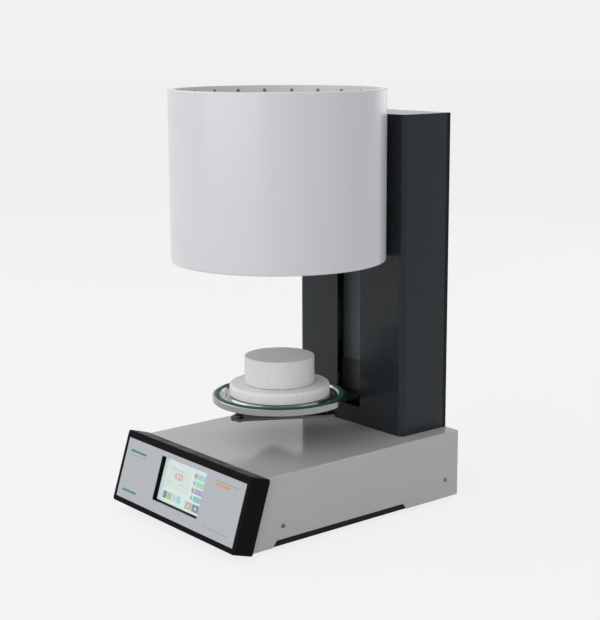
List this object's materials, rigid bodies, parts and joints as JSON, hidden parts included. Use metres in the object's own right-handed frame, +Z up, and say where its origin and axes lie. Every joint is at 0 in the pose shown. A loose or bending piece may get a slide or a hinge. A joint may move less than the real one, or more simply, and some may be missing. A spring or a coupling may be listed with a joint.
{
  "type": "dental porcelain furnace",
  "caption": "Bench-top dental porcelain furnace: a round fixed heating head on a column over a lift table that carries the firing plinth up into it, with a touch display on the base.",
  "frame": {"origin": "at bench level, in the middle of the furnace's outer box", "axes": "+Z up, -Y to the front with the display, +X to the right as seen from the front"},
  "size_m": [0.26, 0.3798, 0.5185],
  "materials": {
    "painted_grey": "semi-gloss light grey paint",
    "painted_anthracite": "satin anthracite paint",
    "painted_black": "satin black paint",
    "painted_white": "glossy white paint",
    "rubber_black": "matt",
    "seal_green": "smooth green",
    "frame_black": "glossy black",
    "overlay_silver": "silver printed film",
    "screen_glass": "clear",
    "display_dark": "lit display face",
    "board_green": "solder resist",
    "plastic_black": "moulded",
    "plastic_grey": "moulded",
    "steel_bright": "polished",
    "steel_dark": "zinc plated",
    "aluminium_bare": "bare",
    "brass_bare": "turned",
    "fibre_white": "vacuum-formed fibre",
    "quartz": "milky quartz",
    "heater_wire": "oxidised"
  },
  "bodies": {
    "root": {"base_housing": "painted_grey", "base_tray": "painted_black", "rear_panel": "painted_black", "rubber_feet": "rubber_black", "side_screws": "steel_bright", "deck_bolts": "steel_dark", "power_inlet": "plastic_black", "pump_socket": "plastic_black", "switch_frame": "plastic_black", "vacuum_nipple": "brass_bare", "front_bezel": "frame_black", "control_overlay": "overlay_silver", "touch_glass": "screen_glass", "display_module": "display_dark", "display_board": "board_green", "main_board": "board_green", "board_standoffs": "brass_bare", "power_supply": "aluminium_bare", "solid_state_relay": "plastic_black", "column_cover": "painted_anthracite", "column_cap": "painted_anthracite", "column_back": "painted_black", "column_back_screws": "steel_dark", "column_frame": "aluminium_bare", "rod_block_lower": "aluminium_bare", "rod_block_upper": "aluminium_bare", "guide_rods": "steel_bright", "screw_bearings": "steel_bright", "lift_motor": "steel_dark", "head_shell": "painted_white", "head_lid": "painted_white", "head_base_plate": "painted_white", "seal_flange": "aluminium_bare", "vacuum_bell": "aluminium_bare", "bell_cover": "aluminium_bare", "insulation_ring": "fibre_white", "insulation_jacket": "fibre_white", "insulation_plug": "fibre_white", "quartz_muffle": "quartz", "heating_coil": "heater_wire", "thermocouple": "steel_dark", "head_brackets": "painted_black"},
    "lift": {"carriage": "aluminium_bare", "linear_bushings": "steel_bright", "lead_nut": "brass_bare", "carriage_plate": "painted_black", "slot_shutter": "painted_anthracite", "lift_arm": "steel_bright", "arm_screws": "steel_dark", "table_springs": "steel_dark"},
    "table": {"table_plate": "steel_bright", "table_seal": "seal_green", "levelling_screws": "steel_dark", "levelling_nuts": "steel_dark", "plinth_base": "fibre_white", "firing_plinth": "fibre_white"},
    "screw": {"lead_screw": "steel_bright", "shaft_coupling": "aluminium_bare", "motor_shaft": "steel_bright"},
    "switch": {"switch_rocker": "plastic_grey"}
  },
  "joints": [
    {"name": "table_lift", "type": "slide", "parent": "root", "child": "lift", "axis": [0, 0, 1], "range_m": [0, 0.1659]},
    {"name": "screw_turn", "type": "hinge", "parent": "root", "child": "screw", "pos_m": [0, 0.13089, 0.2902], "axis": [0, 0, 1], "continuous": true},
    {"name": "table_float", "type": "slide", "parent": "lift", "child": "table", "axis": [0, 0, 1], "range_m": [-0.003, 0], "stiffness_N_per_m": 9000, "springref_m": 0.005, "deforming": ["table_springs"]},
    {"name": "mains_switch", "type": "hinge", "parent": "root", "child": "switch", "pos_m": [-0.044, 0.16589, 0.0522], "axis": [1, 0, 0], "range_deg": [-20, 0]}
  ],
  "couplings": [
    {"joint": "screw_turn", "follows": "table_lift", "rad_per_m": 628.32}
  ]
}
